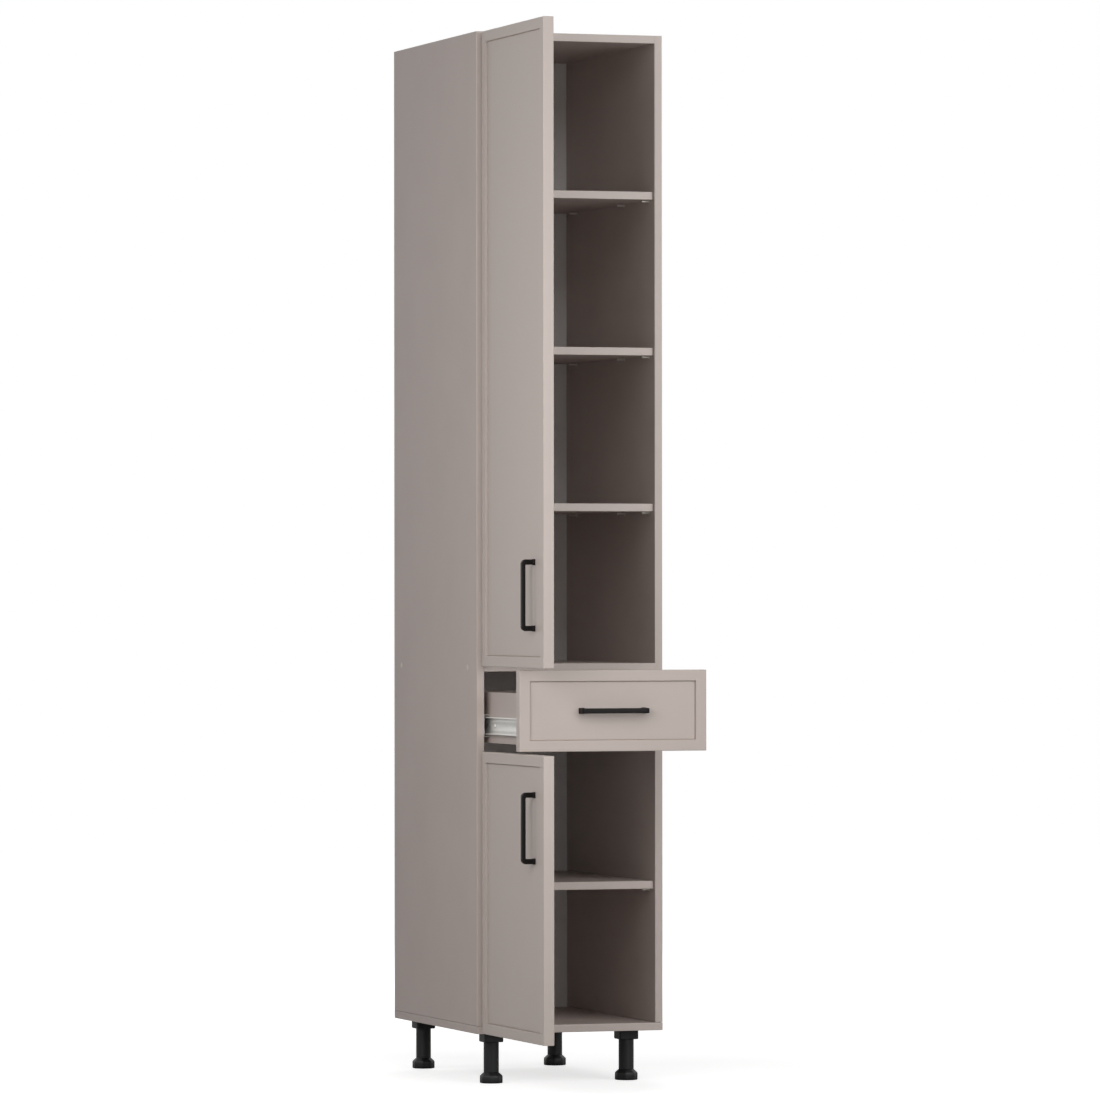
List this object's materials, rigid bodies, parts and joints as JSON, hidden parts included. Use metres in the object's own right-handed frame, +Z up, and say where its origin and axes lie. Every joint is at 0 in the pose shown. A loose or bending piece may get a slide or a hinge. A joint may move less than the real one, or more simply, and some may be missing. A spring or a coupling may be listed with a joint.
{
  "type": "tall kitchen cabinet",
  "caption": "Tall narrow kitchen cabinet on adjustable legs with framed doors above and below a drawer, inner shelves, bow handles, concealed hinges and ball runners.",
  "frame": {"origin": "on the floor, under the middle of the carcass footprint", "axes": "+Z up, -Y towards the person who opens it, +X to that person's right"},
  "size_m": [0.4163, 0.978, 2.145],
  "materials": {
    "lacquered_front": "satin taupe lacquer on moulded fibreboard",
    "melamine_board": "matt taupe melamine on particle board with matching edging",
    "back_board": "painted thin fibreboard",
    "hardwood": "plain dowel",
    "black_metal": "matt black coating",
    "zinc_steel": "zinc-plated sheet",
    "nickel_steel": "nickel-plated",
    "screw_steel": "zinc-plated",
    "black_plastic": "moulded black plastic",
    "taupe_plastic": "moulded cover cap",
    "clear_plastic": "soft clear pad"
  },
  "bodies": {
    "carcass": {"left_side_panel": "melamine_board", "right_side_panel": "melamine_board", "top_panel": "melamine_board", "bottom_panel": "melamine_board", "fixed_divider": "melamine_board", "back_panel": "back_board", "upper_shelf_1": "melamine_board", "upper_shelf_2": "melamine_board", "upper_shelf_3": "melamine_board", "lower_shelf": "melamine_board", "shelf_pins": "nickel_steel", "top_dowels": "hardwood", "cam_locks": "screw_steel", "cam_bolts": "screw_steel", "carcass_screws": "screw_steel", "screw_caps": "taupe_plastic", "back_nails": "screw_steel", "leg_sockets": "black_plastic", "leg_tubes": "black_plastic", "leg_screws": "screw_steel", "hinge_plates": "nickel_steel", "hinge_arms": "nickel_steel", "hinge_plate_screws": "screw_steel", "runner_cabinet_left": "zinc_steel", "runner_cabinet_right": "zinc_steel", "runner_cabinet_screws": "screw_steel"},
    "upper_door": {"upper_door_panel": "lacquered_front", "upper_door_handle": "black_metal", "upper_door_handle_screws": "screw_steel", "upper_door_hinge_cups": "nickel_steel", "upper_door_cup_screws": "screw_steel", "upper_door_bumpers": "clear_plastic"},
    "lower_door": {"lower_door_panel": "lacquered_front", "lower_door_handle": "black_metal", "lower_door_handle_screws": "screw_steel", "lower_door_hinge_cups": "nickel_steel", "lower_door_cup_screws": "screw_steel", "lower_door_bumpers": "clear_plastic"},
    "upper_hinge_links": {"upper_door_hinge_links": "nickel_steel"},
    "lower_hinge_links": {"lower_door_hinge_links": "nickel_steel"},
    "drawer": {"drawer_front": "lacquered_front", "drawer_inner_front": "melamine_board", "drawer_left_side": "melamine_board", "drawer_right_side": "melamine_board", "drawer_back": "melamine_board", "drawer_bottom": "back_board", "drawer_handle": "black_metal", "drawer_handle_screws": "screw_steel", "drawer_box_screws": "screw_steel", "drawer_front_screws": "screw_steel", "runner_drawer_left": "zinc_steel", "runner_drawer_right": "zinc_steel", "runner_drawer_screws": "screw_steel"},
    "ball_cages": {"runner_ball_cages": "zinc_steel"},
    "foot_front_left": {"leg_foot_front_left": "black_plastic"},
    "foot_front_right": {"leg_foot_front_right": "black_plastic"},
    "foot_back_left": {"leg_foot_back_left": "black_plastic"},
    "foot_back_right": {"leg_foot_back_right": "black_plastic"}
  },
  "joints": [
    {"name": "upper_door_swing", "type": "hinge", "parent": "upper_hinge_links", "child": "upper_door", "pos_m": [-0.175, -0.3065, 1.498], "axis": [0, 0, -1], "range_deg": [-134.02, 7.45]},
    {"name": "upper_link_swing", "type": "hinge", "parent": "carcass", "child": "upper_hinge_links", "pos_m": [-0.1632, -0.2823, 1.498], "axis": [0, 0, 1], "range_deg": [-44.03, 2.46]},
    {"name": "lower_door_swing", "type": "hinge", "parent": "lower_hinge_links", "child": "lower_door", "pos_m": [-0.175, -0.3065, 0.393], "axis": [0, 0, -1], "range_deg": [-134.02, 7.45]},
    {"name": "lower_link_swing", "type": "hinge", "parent": "carcass", "child": "lower_hinge_links", "pos_m": [-0.1632, -0.2823, 0.393], "axis": [0, 0, 1], "range_deg": [-44.03, 2.46]},
    {"name": "drawer_slide", "type": "slide", "parent": "carcass", "child": "drawer", "axis": [0, -1, 0], "range_m": [-0.249, 0.091]},
    {"name": "cage_slide", "type": "slide", "parent": "carcass", "child": "ball_cages", "axis": [0, -1, 0], "range_m": [-0.1246, 0.0456]},
    {"name": "foot_front_left_height", "type": "slide", "parent": "carcass", "child": "foot_front_left", "axis": [0, 0, -1], "range_m": [0, 0.02]},
    {"name": "foot_front_right_height", "type": "slide", "parent": "carcass", "child": "foot_front_right", "axis": [0, 0, -1], "range_m": [0, 0.02]},
    {"name": "foot_back_left_height", "type": "slide", "parent": "carcass", "child": "foot_back_left", "axis": [0, 0, -1], "range_m": [0, 0.02]},
    {"name": "foot_back_right_height", "type": "slide", "parent": "carcass", "child": "foot_back_right", "axis": [0, 0, -1], "range_m": [0, 0.02]}
  ],
  "couplings": [
    {"joint": "upper_link_swing", "follows": "upper_door_swing", "ratio": 0.32846},
    {"joint": "lower_link_swing", "follows": "lower_door_swing", "ratio": 0.32846},
    {"joint": "cage_slide", "follows": "drawer_slide", "ratio": 0.5}
  ]
}
